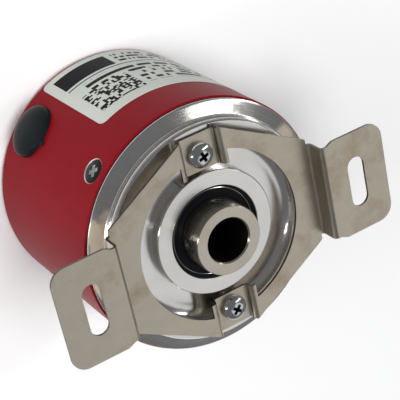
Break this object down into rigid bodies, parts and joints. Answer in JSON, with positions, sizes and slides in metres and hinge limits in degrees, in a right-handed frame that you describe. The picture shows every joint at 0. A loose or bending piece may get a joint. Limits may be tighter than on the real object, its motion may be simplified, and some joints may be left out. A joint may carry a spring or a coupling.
{
  "type": "rotary encoder",
  "caption": "Cylindrical hollow-shaft rotary encoder with a bent sheet-steel stator coupling across its turned face.",
  "frame": {"origin": "centre of the rear cover's flat rear face", "axes": "+Z along the hollow shaft, out of its bore towards the machine; +X through the two wings of the stator coupling"},
  "size_m": [0.082, 0.0581, 0.0552],
  "materials": {
    "cover_paint": "semi-gloss deep red paint on drawn aluminium, faint orange peel",
    "zinc_steel": "bright zinc-plated steel",
    "outlet_rubber": "glossy black moulded rubber",
    "label_film": null,
    "flange_aluminium": "bright turned aluminium with fine concentric tool marks",
    "seal_rubber": "black nitrile rubber",
    "coupling_steel": "satin stainless sheet, slightly warm, faintly stained",
    "bearing_steel": "ground and polished bearing steel",
    "cage_polymer": "natural glass-filled polyamide",
    "turned_steel": "turned steel",
    "spring_steel": "black-oxide steel",
    "dark_polymer": "black moulded plastic",
    "lens_epoxy": "clear epoxy",
    "reticle_glass": "glass with a chromed grating",
    "board_laminate": "green glass-epoxy board with tinned tracks",
    "standoff_brass": "turned brass hexagon",
    "terminal_polymer": "green moulded terminal block",
    "capacitor_can": "aluminium can with a dark sleeve mark",
    "shaft_steel": "turned stainless steel, satin face, dark bore",
    "disc_glass": "clear glass with chromed radial code tracks"
  },
  "bodies": {
    "housing": {"rear_cover": "cover_paint", "cover_screws": "zinc_steel", "cable_outlet_plug": "outlet_rubber", "rating_label": "label_film", "front_flange": "flange_aluminium", "cover_o_ring": "seal_rubber", "stator_coupling": "coupling_steel", "coupling_screws": "zinc_steel", "shaft_seal": "seal_rubber", "front_bearing_outer_ring": "bearing_steel", "rear_bearing_outer_ring": "bearing_steel", "front_bearing_seals": "seal_rubber", "rear_bearing_seals": "seal_rubber", "outer_ring_spacer": "turned_steel", "preload_washer": "bearing_steel", "bearing_retaining_ring": "spring_steel", "led_holder": "dark_polymer", "led_emitter": "lens_epoxy", "led_leads": "zinc_steel", "photo_detector": "dark_polymer", "reticle": "reticle_glass", "circuit_board": "board_laminate", "board_standoffs": "standoff_brass", "board_screws": "zinc_steel", "cable_terminal_block": "terminal_polymer", "board_chips": "dark_polymer", "board_capacitors": "capacitor_can"},
    "shaft": {"hollow_shaft": "shaft_steel", "shaft_set_screws": "spring_steel", "front_bearing_inner_ring": "bearing_steel", "rear_bearing_inner_ring": "bearing_steel", "inner_ring_spacer": "turned_steel", "shaft_retaining_ring": "spring_steel", "disc_hub": "flange_aluminium", "code_disc": "disc_glass", "disc_clamp_ring": "turned_steel", "disc_clamp_screws": "zinc_steel"},
    "front_cage": {"front_bearing_cage": "cage_polymer", "front_bearing_balls": "bearing_steel"},
    "rear_cage": {"rear_bearing_cage": "cage_polymer", "rear_bearing_balls": "bearing_steel"}
  },
  "joints": [
    {"name": "shaft_spin", "type": "hinge", "parent": "housing", "child": "shaft", "pos_m": [0, 0, 0.05], "axis": [0, 0, 1], "continuous": true},
    {"name": "front_cage_spin", "type": "hinge", "parent": "housing", "child": "front_cage", "pos_m": [0, 0, 0.0425], "axis": [0, 0, 1], "continuous": true},
    {"name": "rear_cage_spin", "type": "hinge", "parent": "housing", "child": "rear_cage", "pos_m": [0, 0, 0.028], "axis": [0, 0, 1], "continuous": true}
  ],
  "couplings": [
    {"joint": "front_cage_spin", "follows": "shaft_spin", "ratio": 0.43897},
    {"joint": "rear_cage_spin", "follows": "shaft_spin", "ratio": 0.43897}
  ]
}
